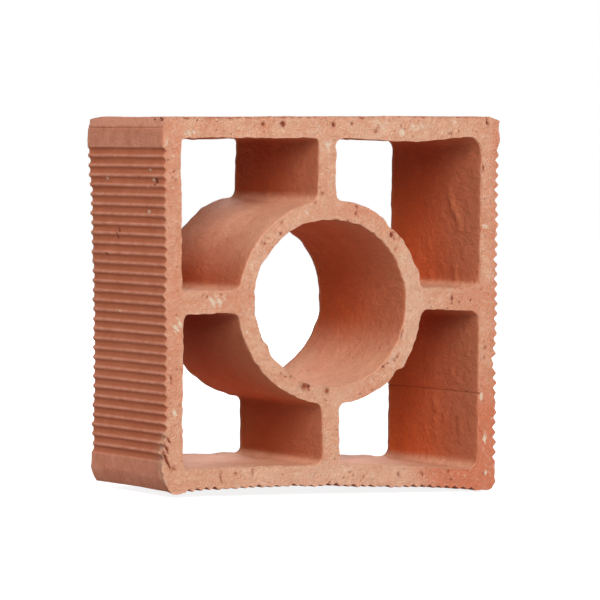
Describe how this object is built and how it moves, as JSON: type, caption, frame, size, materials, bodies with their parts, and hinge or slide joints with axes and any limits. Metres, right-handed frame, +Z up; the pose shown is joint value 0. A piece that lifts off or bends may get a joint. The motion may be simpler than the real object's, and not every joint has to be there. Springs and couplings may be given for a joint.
{
  "type": "ceramic breeze block",
  "caption": "Square extruded clay breeze block: a round ring held on webs inside ridged outer walls, leaving open cells that let air and light through a wall.",
  "frame": {"origin": "middle of the bottom side, on the plane of the plain bands that it stands on", "axes": "+X along the width, +Y along the depth from the front cut face to the back one, +Z up"},
  "size_m": [0.2, 0.1, 0.2],
  "materials": {
    "fired_clay": "matte unglazed terracotta, grainy and paler on the cut faces, smoother and redder on the pressed sides"
  },
  "bodies": {
    "root": {"breeze_block": "fired_clay"}
  },
  "joints": []
}
